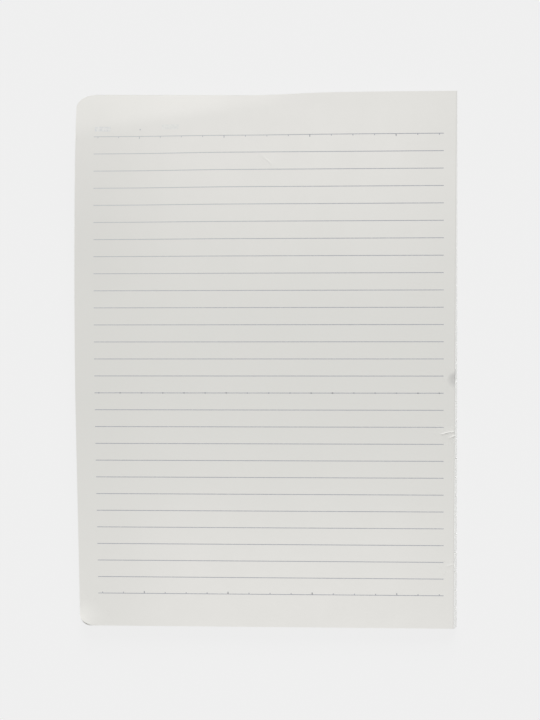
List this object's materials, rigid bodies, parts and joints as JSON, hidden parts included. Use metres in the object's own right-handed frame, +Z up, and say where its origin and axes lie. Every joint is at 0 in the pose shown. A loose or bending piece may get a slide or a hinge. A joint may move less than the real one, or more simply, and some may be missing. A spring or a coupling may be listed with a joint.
{
  "type": "writing pad",
  "caption": "Ruled writing pad of loose-leaf sheets glued along one long side over a greyboard back, rounded at its free corners.",
  "frame": {"origin": "under the middle of the page, on the surface that the pad lies on", "axes": "+Z up through the front sheet, +Y towards the head of the page, +X towards the glued side"},
  "size_m": [0.1792, 0.252, 0.0058],
  "materials": {
    "paper": "matt uncoated writing paper",
    "greyboard": "matt grey pulp board",
    "dried_glue": "dried white padding glue, slightly translucent",
    "ink": "pale blue-grey printed lines"
  },
  "bodies": {
    "root": {"page_block": "paper", "backing_board": "greyboard", "binding_glue": "dried_glue", "page_ruling": "ink"}
  },
  "joints": []
}
